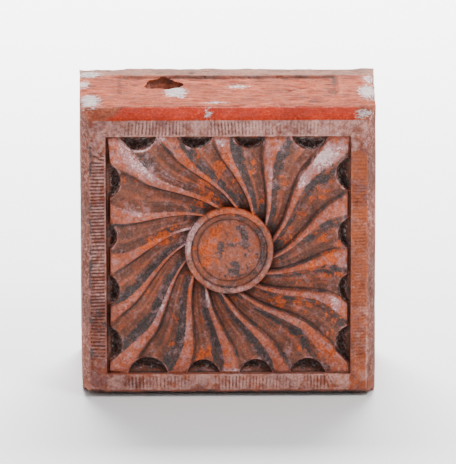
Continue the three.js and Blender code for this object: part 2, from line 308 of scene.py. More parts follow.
# The boss: radius and depth of each row, from the middle of the dome to the foot of the ring
BOSS_ROWS = [(0.0, DOME_FOOT - DOME_RISE)]
for part_way in (0.12, 0.25, 0.38, 0.5, 0.61, 0.71, 0.8, 0.88, 0.94, 0.98):
    BOSS_ROWS.append((part_way * DOME_RADIUS, DOME_FOOT - DOME_RISE * (1 - part_way ** 2.2)))
BOSS_ROWS += [(33.1, 20.2), (34.2, 19.4), (36.0, 18.3), (38.0, 17.9), (38.8, 18.3), (39.3, 17.0), (39.7, 15.2)]
BOSS_ROWS += [(40.6, 14.6), (42.4, 14.0), (44.2, 14.4), (45.4, 15.3), (46.1, 16.6)]
FIELD_ROWS = list(np.linspace(0, 1, 33))
# Rows from a tip's or a pocket's rim to the foot of the frame, and up the frame, as shares of the way
FALL_ROWS = [0.03, 0.08, 0.15, 0.24, 0.34, 0.46, 0.6, 0.74, 0.88, 0.995]
FRAME_WALL_ROWS = [0.8, 0.42, 0.13]
SIDE_OUT = BAND_WIDTH + SIDE_MARGIN
TOP_OUT = BAND_WIDTH + TOP_MARGIN
BOTTOM_OUT = BAND_WIDTH + BOTTOM_MARGIN
# The skin from the panel's edge to the back: distance outside the panel at the sides, top and bottom, and depth
SKIN_ROWS = [(0.25, 0.25, 0.25, 0.55), (1.1, 1.1, 1.1, 0.1)]
SKIN_ROWS += [(w, w, w, 0.0) for w in (2.6, 4.3, 6.0, 7.7, 9.4, 11.1, 12.8, 14.5, 16.0)]
SKIN_ROWS += [(17.2, 17.2, 17.2, 0.15), (18.2, 18.3, 18.1, 0.9)]
for part_way in (0.14, 0.3, 0.48, 0.66, 0.82, 0.93):
    SKIN_ROWS.append((
        BAND_WIDTH + SIDE_MARGIN * part_way,
        BAND_WIDTH + TOP_MARGIN * part_way,
        BAND_WIDTH + BOTTOM_MARGIN * part_way,
        CHAMFER_DEPTH * part_way,
    ))
SKIN_ROWS.append((SIDE_OUT - 0.2, TOP_OUT - 0.3, BOTTOM_OUT - 0.2, CHAMFER_DEPTH + 0.8))
for part_way in (0.012, 0.03, 0.06, 0.1, 0.16, 0.24, 0.33, 0.43, 0.53, 0.62, 0.7, 0.78, 0.86, 0.93, 0.975, 0.992):
    depth = lerp(CHAMFER_DEPTH, BLOCK_DEPTH, part_way)
    SKIN_ROWS.append((SIDE_OUT + MOULD_DRAFT * part_way, TOP_OUT, BOTTOM_OUT, depth))
BACK_ROWS = [0.996, 0.98, 0.95, 0.9, 0.84, 0.77, 0.68, 0.55, 0.4, 0.2, 0.0]

# The band's rows, which are cut finer for the comb marks
BAND_FIRST = len(BOSS_ROWS) + len(FIELD_ROWS) + len(FALL_ROWS) + len(FRAME_WALL_ROWS)
BAND_LAST = BAND_FIRST + 12
ROWS = BAND_FIRST + len(SKIN_ROWS) + len(BACK_ROWS)


def skin_point(column, row):
    """A point of the block's skin outside the panel; columns stay square to the edge except near the corners."""
    beside, above, below, depth = row
    side, share = side_and_share(turn_of(column, np.ones_like(column)))
    side = np.where(column >= COLUMNS, 3, side)
    share = np.where(column >= COLUMNS, -1, share)
    out = np.select([side == 0, side == 1, side == 2], [beside, below, beside], above)
    along = share * HALF_PANEL
    ends_low = np.select([side == 0, side == 1, side == 2], [below, beside, above], beside)
    ends_high = np.select([side == 0, side == 1, side == 2], [above, beside, below], beside)
    bend = smooth(92, HALF_PANEL, np.abs(along)) * np.clip(np.abs(along) / HALF_PANEL, 0, 1)
    along = along + np.where(along > 0, ends_high, -ends_low) * bend
    x, z = turned(-(HALF_PANEL + out), along, side)
    return x, z, np.full_like(column, depth)


def fall_point(column, part_way):
    """A point on the way down from a tip's or a pocket's rim to the foot of the frame."""
    rim = reach_of_rim(column)
    mx, mz, radius = scallop(np.floor(column / COLUMNS_PER_RIDGE))
    turn = turn_of(column, rim)
    x0, z0 = rosette_point(turn, rim)
    d0 = field_depth(column, rim)[0]
    ex, ez = edge_point(turn_of(column, np.ones_like(column)))
    x = lerp(x0, ex, part_way)
    z = lerp(z0, ez, part_way)
    square = np.maximum(np.abs(x), np.abs(z))
    width = slot_width(turn)
    ground = np.interp(width, [1.2, 2.0, 3.0, 4.6], [2.4, 4.5, 8.5, 12.5])
    past = (square - HALF_PANEL + width) / width
    slot = np.where(rim < 1, smooth(0, 0.5, past), smooth(0, 0.45, part_way)) * ground
    share = np.hypot(x - mx, z - mz) / radius
    bowl = np.where(share < 1, np.minimum(scallop_wall(share), scallop_foot(HALF_PANEL - square)), 0)
    return x, z, np.maximum(np.maximum(slot, bowl), d0)


def block_point(column, row_index):
    """Place of each column on one row, in millimetres from the panel's middle, with its depth and marks."""
    none = np.zeros_like(column)
    marks = [none, none, none, none + 0.5]
    index = row_index
    start = (RING_RADIUS - ROSETTE_START) / (TIP_RADIUS - ROSETTE_START)
    if index < len(BOSS_ROWS):
        radius, depth = BOSS_ROWS[index]
        angle = FIRST_RIDGE_ANGLE + turn_of(column, np.full_like(column, start)) * 2 * np.pi / RIDGES - SWIRL_TURN
        x = ROSETTE_OFF[0] + radius * np.cos(angle)
        z = ROSETTE_OFF[1] + radius * np.sin(angle)
        return x, z, np.full_like(column, depth), marks
    index -= len(BOSS_ROWS)
    rim = reach_of_rim(column)
    if index < len(FIELD_ROWS):
        ex, ez = edge_point(turn_of(column, none))
        tip = np.hypot(ex, ez) * (1 - slot_width(turn_of(column, none)) / HALF_PANEL)
        first = (RING_RADIUS + 0.3 - ROSETTE_START) / (tip - ROSETTE_START)
        reach = lerp(first, rim, FIELD_ROWS[index])
        x, z = rosette_point(turn_of(column, reach), reach)
        depth, *marks = field_depth(column, reach)
        return x, z, depth, marks
    index -= len(FIELD_ROWS)
    if index < len(FALL_ROWS):
        return *fall_point(column, FALL_ROWS[index]), marks
    index -= len(FALL_ROWS)
    if index < len(FRAME_WALL_ROWS):
        x, z, _ = skin_point(column, (0, 0, 0, 0))
        return x, z, fall_point(column, FALL_ROWS[-1])[2] * FRAME_WALL_ROWS[index], marks
    index -= len(FRAME_WALL_ROWS)
    if index < len(SKIN_ROWS):
        x, z, depth = skin_point(column, SKIN_ROWS[index])
        return x, z, depth, marks
    index -= len(SKIN_ROWS)
    x, z, _ = skin_point(column, (SIDE_OUT + MOULD_DRAFT, TOP_OUT, BOTTOM_OUT, 0))
    return x * BACK_ROWS[index], z * BACK_ROWS[index], np.full_like(column, BLOCK_DEPTH), marks


def select_only(piece):
    if bpy.context.object and bpy.context.object.mode != "OBJECT":
        bpy.ops.object.mode_set(mode="OBJECT")
    bpy.ops.object.select_all(action="DESELECT")
    piece.select_set(True)
    bpy.context.view_layer.objects.active = piece


def pick(piece, edges):
    """Leaves only the given edges of a piece selected, and goes into edit mode."""
    select_only(piece)
    mesh = piece.data
    mesh.vertices.foreach_set("select", np.zeros(len(mesh.vertices), bool))
    mesh.edges.foreach_set("select", edges)
    mesh.polygons.foreach_set("select", np.zeros(len(mesh.polygons), bool))
    bpy.context.tool_settings.mesh_select_mode = (False, True, False)
    bpy.ops.object.mode_set(mode="EDIT")


def cut_across(direction, levels):
    """Cuts the whole of the piece in edit mode at each level along a direction, in metres."""
    for level in levels:
        bpy.ops.mesh.select_all(action="SELECT")
        bpy.ops.mesh.bisect(plane_co=[level * part for part in direction], plane_no=direction)


def corners_of(piece):
    places = np.empty(3 * len(piece.data.vertices))
    piece.data.vertices.foreach_get("co", places)
    return places.reshape(-1, 3)


def move_corners(piece, places):
    piece.data.vertices.foreach_set("co", places.ravel())
    piece.data.update()


def mesh_links(piece):
    ends = np.empty(2 * len(piece.data.edges), int)
    piece.data.edges.foreach_get("vertices", ends)
    return ends.reshape(-1, 2)


def clay_sheet():
    """A flat sheet of COLUMNS by ROWS faces, with the band's rows cut twice as fine for the comb marks."""
    bpy.ops.object.select_all(action="DESELECT")
    bpy.ops.mesh.primitive_grid_add(x_subdivisions=COLUMNS, y_subdivisions=ROWS - 1, size=1)
    sheet = bpy.context.object
    sheet.name = "carved_block"
    sheet.data.name = "carved_block"
    places = corners_of(sheet)
    row = np.round((places[:, 1] + 0.5) * (ROWS - 1)).astype(int)
    ends = mesh_links(sheet)
    level = row[ends[:, 0]] == row[ends[:, 1]]
    band = level & (row[ends[:, 0]] >= BAND_FIRST - 1) & (row[ends[:, 0]] <= BAND_LAST)
    pick(sheet, band)
    bpy.ops.mesh.subdivide(number_cuts=1)
    bpy.ops.object.mode_set(mode="OBJECT")
    return sheet


def wrap_block(sheet):
    """Wraps the sheet round the block, from the middle of the dome at its near edge to the middle of the back."""
    flat = corners_of(sheet)
    column = (flat[:, 0] + 0.5) * COLUMNS
    row = np.round((flat[:, 1] + 0.5) * (ROWS - 1)).astype(int)
    places = np.empty_like(flat)
    marks = np.zeros((len(flat), 4))
    for index in range(ROWS):
        here = np.nonzero(row == index)[0]
        x, z, depth, found = block_point(column[here], index)
        places[here] = np.stack([x, FACE_Y + depth, PANEL_Z + z], 1)
        marks[here] = np.stack(found, 1)
    return places, marks


def cut_bed_finer(piece):
    """Cuts the long faces of the top bed across, so that its mortar can be roughened."""
    places = corners_of(piece) / MM
    ends = mesh_links(piece)
    middle = (places[ends[:, 0]] + places[ends[:, 1]]) / 2
    along = np.abs(places[ends[:, 0], 1] - places[ends[:, 1], 1])
    flat = np.minimum(places[ends[:, 0], 2], places[ends[:, 1], 2]) > BLOCK_HEIGHT - 0.01
    pick(piece, flat & (along > 4.0) & (middle[:, 1] > FACE_Y + CHAMFER_DEPTH))
    bpy.ops.mesh.subdivide(number_cuts=5)
    bpy.ops.object.mode_set(mode="OBJECT")


def close_block(sheet, places):
    move_corners(sheet, places * MM)
    select_only(sheet)
    bpy.ops.object.mode_set(mode="EDIT")
    bpy.ops.mesh.select_all(action="SELECT")
    bpy.ops.mesh.remove_doubles(threshold=0.00002)
    bpy.ops.mesh.normals_make_consistent(inside=False)
    bpy.ops.object.mode_set(mode="OBJECT")


# Cells and the broken hole, cut out of the closed block

def cut_away(piece, tool):
    cut = piece.modifiers.new("cut", "BOOLEAN")
    cut.operation = "DIFFERENCE"
    cut.object = tool
    cut.solver = "MANIFOLD"
    select_only(piece)
    bpy.ops.object.modifier_apply(modifier="cut")
    bpy.data.objects.remove(tool)


def cell_tool(side):
    """A rounded cell, cut finely enough for its walls to be roughened."""
    inner = side * WEB / 2
    outer = side * (HALF_WIDTH - WALL)
    width = abs(outer - inner)
    height = BLOCK_HEIGHT - 2 * WALL
    front = FACE_Y + FRONT_WALL
    depth = BACK_Y + 10 - front
    bpy.ops.object.select_all(action="DESELECT")
    bpy.ops.mesh.primitive_cube_add(size=1)
    tool = bpy.context.object
    middle = np.array([(inner + outer) / 2, front + depth / 2, BLOCK_HEIGHT / 2])
    move_corners(tool, (corners_of(tool) * np.array([width, depth, height]) + middle) * MM)
    places = corners_of(tool)
    ends = mesh_links(tool)
    pick(tool, np.abs(places[ends[:, 0], 1] - places[ends[:, 1], 1]) > 0.01)
    bpy.ops.mesh.bevel(offset=CELL_CORNER * MM, segments=5, affect="EDGES")
    left, right = sorted((inner, outer))
    cut_across((0, 1, 0), np.arange(front + 6, BACK_Y, 7.0) * MM)
    cut_across((1, 0, 0), np.arange(left + CELL_CORNER, right - CELL_CORNER + 1, 6.4) * MM)
    cut_across((0, 0, 1), np.arange(WALL + CELL_CORNER, BLOCK_HEIGHT - WALL - CELL_CORNER + 1, 6.9) * MM)
    bpy.ops.object.mode_set(mode="OBJECT")
    return tool


HOLE_MIDDLE = (-67.5, 35.5)
HOLE_HALF = (18.5, 25)


def hole_reach(angle):
    """Half the width and length of the broken hole's mouth in a direction."""
    return 1 + 0.1 * np.cos(3 * angle + 1) + 0.07 * np.cos(5 * angle)


def hole_tool():
    """The funnel of the broken hole: a cone of clay that is missing, with lumpy walls."""
    bpy.ops.object.select_all(action="DESELECT")
    bpy.ops.mesh.primitive_cylinder_add(vertices=64, radius=1, depth=1, end_fill_type="TRIFAN")
    tool = bpy.context.object
    bpy.ops.object.mode_set(mode="EDIT")
    cut_across((0, 0, 1), np.linspace(-0.5, 0.5, 16)[1:-1])
    bpy.ops.object.mode_set(mode="OBJECT")
    flat = corners_of(tool)
    angle = np.arctan2(flat[:, 1], flat[:, 0])
    spread = np.hypot(flat[:, 0], flat[:, 1])
    z = lerp(BLOCK_HEIGHT - WALL - 6, BLOCK_HEIGHT + 6, flat[:, 2] + 0.5)
    share = np.interp(z, [269, 291, 302, 304.5, 313], [0.62, 0.8, 0.93, 1.02, 1.02]) * hole_reach(angle)
    places = np.stack([HOLE_MIDDLE[0] + HOLE_HALF[0] * share * spread * np.cos(angle),
                       HOLE_MIDDLE[1] + HOLE_HALF[1] * share * spread * np.sin(angle), z], 1)
    lump = 1.6 * rough_noise(places, 7, 5)
    places[:, 0] += lump * spread * np.cos(angle)
    places[:, 1] += lump * spread * np.sin(angle)
    move_corners(tool, places * MM)
    return tool


# The marks of the maker and of the years, worked into the clay

def outward(piece):
    piece.data.update()
    normals = np.empty(3 * len(piece.data.vertices))
    piece.data.vertices.foreach_get("normal", normals)
    return normals.reshape(-1, 3)


def hollows(places, normals, links, rounds):
    """How far each point lies below its smoothed surroundings, in millimetres; ridges come out negative."""
    count = np.bincount(links.ravel(), minlength=len(places))[:, None]
    soft = places.copy()
    for _ in range(rounds):
        total = np.stack([np.bincount(links[:, 0], soft[links[:, 1], k], len(places))
                          + np.bincount(links[:, 1], soft[links[:, 0], k], len(places)) for k in range(3)], 1)
        soft = 0.5 * soft + 0.5 * total / np.maximum(count, 1)
    return ((soft - places) * normals).sum(1)


def how_far(places, middle, reach):
    """Squared distance of each point from a middle, with the reach in each direction taken as one."""
    return (((places - np.array(middle)) / np.array(reach)) ** 2).sum(1)


def where_on_block(places):
    """Which points belong to the panel, the tooled band, the top chamfer and the bed."""
    x, y, z = places.T
    square = np.maximum(np.abs(x), np.abs(z - PANEL_Z))
    panel = (square < HALF_PANEL + 0.3) & (y < FACE_Y + 40)
    band = (square >= HALF_PANEL + 0.3) & (y < FACE_Y + 1.2)
    strip = (z > PANEL_Z + HALF_BAND) & (y <= FACE_Y + CHAMFER_DEPTH + 0.5) & (y >= FACE_Y + 0.3)
    strip &= z - PANEL_Z - HALF_BAND > 1.3 * (np.abs(x) - HALF_BAND)
    bed = (z > BLOCK_HEIGHT - RECESS_DEPTH - 4) & (y > FACE_Y + CHAMFER_DEPTH + 0.5)
    return panel, band, strip, bed


# Comb marks of the band: their pitch and depth, and the numbers of two sides, whose opposites have a minus
COMB_PITCH = 3.55
COMB_DEPTH = 0.62
RIGHT_SIDE = 2
TOP_SIDE = 5


def comb_marks(places):
    """Grooves drawn across the band with a comb, uneven and fading out towards the corners."""
    x, _, z = places.T
    z = z - PANEL_Z
    upright = np.abs(x) > np.abs(z)
    along = np.where(upright, z, x)
    side = np.where(upright, np.sign(x) * RIGHT_SIDE, np.sign(z) * TOP_SIDE)
    line = np.stack([along, side * 40, np.zeros_like(along)], 1)
    across = np.where(upright, np.abs(x), np.abs(z))
    drift = 0.9 * clay_noise(line, 21, 61) + 0.35 * clay_noise(line, 6, 62)
    slant = 0.10 * (across - 135) * clay_noise(line, 45, 63)
    phase = (along + 1.4 * drift + slant) / COMB_PITCH
    groove = (0.5 + 0.5 * np.cos(2 * np.pi * phase)) ** 1.2
    press = np.clip(0.8 + 0.45 * clay_noise(line, 33, 64) + 0.4 * clay_noise(places, 7, 65), 0.2, 1.2)
    press *= 1 - smooth(103, 117, np.abs(along))
    press *= np.select([(side == RIGHT_SIDE) & (along < 70), side == -RIGHT_SIDE], [0.6, 1.4], 0.65)
    press *= smooth(HALF_PANEL + 0.8, HALF_PANEL + 3, across) * (1 - 0.7 * smooth(140, 144, across))
    return COMB_DEPTH * groove * press, groove * np.clip(press, 0, 1)


# Bites out of the arrises: place, reach and depth, in millimetres
CHIPS = [
    ((-150, 101, 307), (16, 9, 9), 2.4), ((-128, 101, 307), (22, 7, 7), 2.2),
    ((-152, -85, 3), (13, 12, 9), 4.5), ((-140, -96, 4), (14, 9, 6), 2.2),
    ((152, -86, 2), (11, 10, 8), 4.0), ((60, 101, 307), (30, 8, 6), 1.0),
    ((4, 101, 307), (18, 8, 5), 0.8), ((110, 101, 307), (30, 8, 6), 1.5),
    ((154, 40, 307), (7, 26, 9), 3.0), ((153, -40, 306), (7, 22, 8), 2.4),
    ((-153, -70, 306), (8, 14, 8), 2.2), ((-156, 60, 300), (8, 30, 9), 2.6),
    ((-147, -98, 214), (5, 6, 9), 1.4), ((147, -98, 120), (5, 6, 12), 1.3),
    ((146, -98, 30), (5, 6, 10), 1.4), ((-147, -98, 96), (5, 6, 8), 1.2),
    ((156, 100, 40), (9, 9, 30), 3.0), ((-156, 100, 130), (9, 9, 40), 2.6),
]


# Rough pits in the bed's mortar, near the right end of the recess
BED_PITS = [
    ((66, 6, 305), (10, 6, 8), 2.6), ((79, 14, 305), (7, 5, 8), 1.8),
    ((110, -2, 305), (6, 14, 8), 2.8), ((104, 16, 305), (6, 7, 8), 1.8),
    ((-96, 30, 305), (5, 4, 6), 1.4), ((20, -50, 306), (8, 4, 6), 1.4),
]


def bed_recess(places):
    """How far the recess in the top bed sinks each point; its edge is ragged, and its left end has nearly gone."""
    x, y, z = places.T
    edge = 1.1 * rough_noise(places, 12, 31)
    recess = 1 - smooth(HALF_WIDTH - WALL - 1.8, HALF_WIDTH - WALL + 1.8, x + edge)
    recess *= smooth(-HALF_WIDTH + WALL - 12, -HALF_WIDTH + WALL + 16, x + 2 * edge)
    recess *= smooth(-42, -30, y + 3 * edge) * (1 - smooth(61.6, 64.4, y + 0.5 * edge))
    return RECESS_DEPTH * recess * smooth(292, 303, z)


def wear_clay(piece):
    """Moves the skin inwards by comb marks, mortar, lumps, worn arrises and chips, and never out of the box."""
    places = corners_of(piece) / MM
    normals = outward(piece)
    links = mesh_links(piece)
    panel, band, strip, bed = where_on_block(places)
    fine = 0.5 + 0.5 * rough_noise(places, 3.4, 11)
    lumps = 0.5 + 0.5 * rough_noise(places, 15, 12)
    broad = 0.5 + 0.5 * rough_noise(places, 60, 13, 2)
    smear = places * np.array([0.34, 0.8, 1.0])
    dragged = 0.5 + 0.5 * rough_noise(smear, 4.2, 21)
    trowel = np.abs(rough_noise(places * np.array([0.22, 0.9, 1.0]), 9, 22))
    inward = np.select(
        [panel, band, strip, bed],
        [
            0.22 * fine + 0.55 * lumps,
            0.15 * fine + 0.45 * lumps,
            0.10 * fine + 0.4 * lumps,
            1.5 * dragged ** 1.5 + 1.8 * np.clip(0.32 - trowel, 0, 1) + 0.5 * lumps,
        ],
        np.clip(0.5 * fine + 0.8 * lumps + 0.8 * broad - 0.75, 0, None),
    )
    comb, comb_mark = comb_marks(places)
    inward += np.where(band, comb, 0)
    sink = bed_recess(places)
    ridge = np.clip(-hollows(places, normals, links, 6), 0, 0.8)
    ragged = np.clip(0.55 + 0.9 * rough_noise(places, 9, 41), 0, 1.6)
    rim = smooth(84, 99, places[:, 1])
    inward += ridge * ragged * np.where(panel, 0.4, np.where(bed | strip, 0.55 - 0.4 * rim, 1.5))
    inward = np.where(bed, np.clip(inward - 0.55 - 0.45 * rim, 0, None), inward)
    broken = 1 + 0.5 * rough_noise(places, 6, 51)
    for *bite, depth in CHIPS + BED_PITS:
        inward += depth * np.clip(1 - how_far(places, *bite) * broken, 0, 1) ** 0.7
    places = places - normals * inward[:, None]
    places[:, 2] -= sink
    across = places[:, 0] / BACK_HALF_WIDTH
    up = (places[:, 2] - PANEL_Z) / 153
    places[:, 2] -= 0.3 * (1 + across) * smooth(0.75, 1.0, up) * smooth(-60, 100, places[:, 1])
    places[:, 2] += 0.35 * (1 - across) * smooth(0.7, 1.0, -up) * smooth(0, 1, (BACK_Y - places[:, 1]) / 180)
    low = np.array([-BACK_HALF_WIDTH, FACE_Y, 0.0])
    high = np.array([BACK_HALF_WIDTH, BACK_Y, BLOCK_HEIGHT])
    move_corners(piece, np.clip(places, low, high) * MM)
    return comb_mark * band


# Marks of dirt, salts and fresh clay, and of painted shade and highlight, kept as attributes of the block's corners

# Pale salts on the face, each spot with its place across and up, half its length and width, its tilt in degrees, and
# its strength
HAZE = [
    (-82.3, 243.9, 27.0, 9.5, -28, 1.0), (-59.4, 233.3, 12.5, 6.4, -25, 1.0),
    (-105.1, 263.1, 10.4, 9.5, 0, 0.7), (-90.6, 265.2, 14.6, 3.2, -8, 1.0),
    (-71.9, 273.7, 7.3, 5.3, 0, 1.2), (-95.8, 201.3, 13.5, 6.4, -12, 1.0),
    (-44.9, 172.5, 4.2, 12.7, -10, 1.1), (-50.1, 176.8, 5.2, 4.2, 0, 0.8),
    (-23.1, 103.3, 4.2, 9.5, -15, 1.3), (-70.9, 97.9, 4.2, 14.8, -28, 1.0),
    (-11.6, 270.5, 10.4, 4.2, 0, 0.9), (21.6, 267.4, 10.4, 5.3, 0, 0.6),
    (53.8, 265.2, 12.5, 4.2, 0, 0.5), (97.5, 255.6, 14.6, 10.6, 25, 1.5),
    (76.7, 233.3, 6.2, 9.5, -30, 1.1), (45.5, 233.3, 4.2, 12.7, 0, 0.6),
    (-53.2, 55.3, 6.2, 8.5, 0, 0.5), (-47.0, 66.0, 5.2, 9.5, 0, 0.5),
    (56.9, 76.6, 8.3, 9.5, -40, 0.5), (61.1, 50.0, 9.4, 7.4, -40, 0.6),
    (109.9, 97.9, 4.2, 14.8, 0, 0.8), (118.2, 137.4, 4.2, 14.8, 0, 0.6),
    (0.8, 28.7, 31.2, 2.7, 0, 0.9), (-25.1, 70.2, 5.2, 12.7, -20, 0.5),
    (73.6, 156.5, 10.4, 5.3, 35, 0.5), (34.1, 164.0, 3.1, 17.0, 0, 0.35),
    (115.1, 265.2, 12.5, 3.2, 0, 0.8), (86.0, 103.3, 14.6, 5.3, -15, 0.4),
]
# Fresh orange clay on the face, where it was rubbed, in the same order
FRESH = [
    (-71.9, 169.3, 13.5, 6.4, 30, 1.4), (-85.4, 160.8, 14.6, 6.4, 30, 0.7),
    (-23.1, 209.8, 9.4, 8.5, -45, 1.2), (9.1, 198.1, 18.7, 5.3, -8, 1.2),
    (-38.7, 252.4, 8.3, 10.6, -45, 0.9), (-22.0, 231.1, 7.3, 14.8, -55, 1.0),
    (-7.5, 209.8, 6.2, 10.6, -50, 1.0), (-5.4, 247.1, 6.2, 14.8, -65, 0.9),
    (-37.6, 133.1, 5.2, 8.5, 60, 0.8), (-40.7, 111.8, 9.4, 6.4, 50, 1.0),
    (-33.5, 124.6, 6.2, 6.4, 0, 0.9), (-10.6, 159.7, 9.4, 14.8, 0, 0.5),
    (-22.0, 143.8, 10.4, 6.4, 0, 0.8), (-55.3, 47.9, 7.3, 6.4, 45, 0.9),
    (-25.1, 47.9, 12.5, 6.4, 0, 0.9), (-8.5, 41.5, 10.4, 7.4, -20, 1.1),
    (34.1, 50.0, 9.4, 8.5, -40, 0.5), (92.3, 55.3, 16.6, 9.5, -38, 0.9),
    (109.9, 90.5, 7.3, 12.7, 0, 0.9), (73.6, 103.3, 16.6, 5.3, -15, 0.7),
    (96.4, 137.4, 18.7, 8.5, -5, 0.9), (104.7, 151.2, 9.4, 9.5, 0, 0.6),
    (92.3, 169.3, 9.4, 5.3, 30, 0.7), (65.2, 167.2, 12.5, 5.3, 25, 0.6),
    (73.6, 193.8, 10.4, 6.4, 50, 0.5), (91.2, 215.1, 12.5, 8.5, 50, 0.5),
    (40.3, 113.9, 10.4, 5.3, -45, 0.7), (52.8, 103.3, 10.4, 5.3, -40, 0.6),
    (16.4, 236.5, 4.2, 14.8, -72, 0.8), (35.1, 209.8, 3.1, 14.8, 80, 0.7),
    (34.1, 247.1, 3.1, 10.6, 80, 0.7), (115.1, 161.9, 8.3, 17.0, 0, 0.4),
]

# Smears of pale mortar on the bed, the top chamfer and the right side: place, reach and strength
MORTAR_SPOTS = [
    ((-54, -2, 304), (10, 22, 8), 1.6), ((-49, -34, 305), (7, 13, 8), 1.1),
    ((-143, -62, 307), (10, 26, 9), 1.3), ((-150, 20, 307), (7, 20, 9), 0.8),
    ((-146, 70, 307), (13, 16, 9), 0.9), ((146, -20, 307), (9, 34, 9), 1.1),
    ((150, 45, 307), (7, 22, 9), 0.9), ((10, 22, 307), (13, 12, 9), 0.8),
    ((-12, -70, 307), (16, 5, 9), 0.7), ((140, -94, 299), (10, 8, 5), 0.9),
    ((-20, -94, 300), (5, 8, 8), 0.7),
]

# How strong the painted highlight on the lip of each pocket is, from the top left corner down the left side and round
LIP_HIGHLIGHT = [0.35, 0.2, 0.1, 0.2, 0.5, 0.2, 0.3, 0.3, 0.3, 0.2, 0.35, 0.45, 0.4, 0.3, 0.5, 1.3]

# What each attribute carries in its red, green, blue and alpha
MARKS = {
    "form_marks": ("close", "wide", "comb", "seam"),
    "relief_marks": ("crest", "flute", "soot", "streak"),
    "stain_marks": ("haze", "fresh", "mortar"),
    "place_marks": ("band", "strip", "bed", "beside"),
}


class Skin:
    """The corners of the block's mesh, and the parts of the block that they belong to."""

    def __init__(self, piece):
        self.places = corners_of(piece) / MM
        x, y, z = self.x, self.y, self.z = self.places.T
        self.panel, self.band, self.strip, bed = where_on_block(self.places)
        self.patch = rough_noise(self.places, 16, 71)
        self.left = self.band & (x < -HALF_PANEL)
        self.right = self.band & (x > HALF_PANEL) & (z < 262 + 6 * self.patch)
        self.bottom = self.band & (z < PANEL_Z - HALF_PANEL)
        self.from_band = HALF_PANEL - np.maximum(np.abs(x), np.abs(z - PANEL_Z))
        self.around = np.arctan2(z - PANEL_Z, x)
        # Distance from the boss's middle; points off the panel count as endlessly far
        from_middle = np.hypot(x - ROSETTE_OFF[0], z - PANEL_Z - ROSETTE_OFF[1])
        self.ring = np.where(self.panel, from_middle, np.inf)
        pockets = zip(*scallop(np.arange(RIDGES, dtype=float)))
        self.from_rims = [np.hypot(x - mx, z - PANEL_Z - mz) - radius for mx, mz, radius in pockets]
        self.pocket = self.panel & (np.min(self.from_rims, axis=0) < -0.2) & (y > FACE_Y + 6)
        across = x - HOLE_MIDDLE[0]
        along = y - HOLE_MIDDLE[1]
        from_hole = np.hypot(across / HOLE_HALF[0], along / HOLE_HALF[1]) / hole_reach(np.arctan2(along, across))
        self.hole = bed & (z < BLOCK_HEIGHT - RECESS_DEPTH - 0.9) & (from_hole < 1.06)
        self.bed = bed & ~self.hole


def spots(places, listed):
    """Strength of the listed spots; their heights are those of the face, and sink with the carving's depth."""
    x = places[:, 0]
    z = places[:, 2] + 0.24 * np.clip(places[:, 1] - FACE_Y, 0, 25)
    total = np.zeros(len(places))
    for px, pz, long, wide, tilt, strength in listed:
        c, s = math.cos(math.radians(tilt)), math.sin(math.radians(tilt))
        along = ((x - px) * c + (z - pz) * s) / long
        across = (-(x - px) * s + (z - pz) * c) / wide
        total = np.maximum(total, strength * np.exp(-0.8 * (along ** 2 + across ** 2)))
    return total


def nearest_marks(skin, carved_places, carved_marks):
    """Crest, flute, soot and streak of each point of the panel, from the nearest point of the carving."""
    tree = kdtree.KDTree(len(carved_places))
    for i, place in enumerate(carved_places):
        tree.insert(place, i)
    tree.balance()
    marks = np.tile([0.0, 0.0, 0.0, 0.5], (len(skin.places), 1))
    for i in np.nonzero(skin.panel)[0]:
        marks[i] = carved_marks[tree.find(skin.places[i])[1]]
    return marks.T


def relief_marks(skin, carved_places, carved_marks):
    """Marks of the carving, and of the pockets, the boss and the hole, with painted shade at the ring's step and
    inner right crescent, the band's outer left edge and the lower arris.
    """
    crest, flute, soot, streak = nearest_marks(skin, carved_places, carved_marks)
    x, y, z, ring, patch = skin.x, skin.y, skin.z, skin.ring, skin.patch
    dome = ring < 31
    groove = (ring > 31.5) & (ring < 39.3)
    step = (ring > 39) & (ring < 40)
    crown = (ring > 40) & (ring < 46.5)
    crest = np.select([skin.pocket, crown], [0.0, 0.2], crest)
    flute = np.select([skin.pocket | skin.hole, groove, crown, dome], [1.0, 0.75, 0.42, 0.16], flute)
    # Pockets are greyed, more so away from the band; the step inside the ring gets a dark line of painted shade
    soot = np.select([skin.pocket, crown, step], [0.24 + 0.16 * smooth(3.5, 9, skin.from_band), 0.27, 0.8], soot)
    # Painted shadow in a crescent on the right inside the ring
    ring_crescent_shadow = np.exp(-((ring - 35.5) / 2.6) ** 2) * smooth(0.2, 0.9, np.cos(skin.around - 0.15))
    by_ring = 0.55 * flute * smooth(-0.4, 0.7, np.sin(skin.around + 0.2))
    # Painted shadow along the band's outer left edge
    left_edge_shadow = np.exp(-((x + 142.6 + 0.8 * patch) / 1.7) ** 2) * smooth(10, 40, z)
    # Painted shade on the lower arris
    shaded_lower_arris = (y < FACE_Y + CHAMFER_DEPTH + 3) & (z < 12)
    for part, grey in (
        (ring < 40, ring_crescent_shadow),
        (dome, 0.75 * smooth(0.0, 0.45, patch)),
        ((ring > 46) & (ring < 60), by_ring),
        (y < FACE_Y + 2.5, 0.62 * left_edge_shadow),
        (shaded_lower_arris, 0.95 * smooth(8.0, 4.5, z + 1.5 * patch)),
        (skin.left, (0.2 + 0.3 * patch) * smooth(140, 80, z)),
    ):
        soot = np.maximum(soot, part * grey)
    streak = np.where(skin.bed, smooth(60, 70, y + 4 * patch), streak)
    return crest, flute, soot, streak


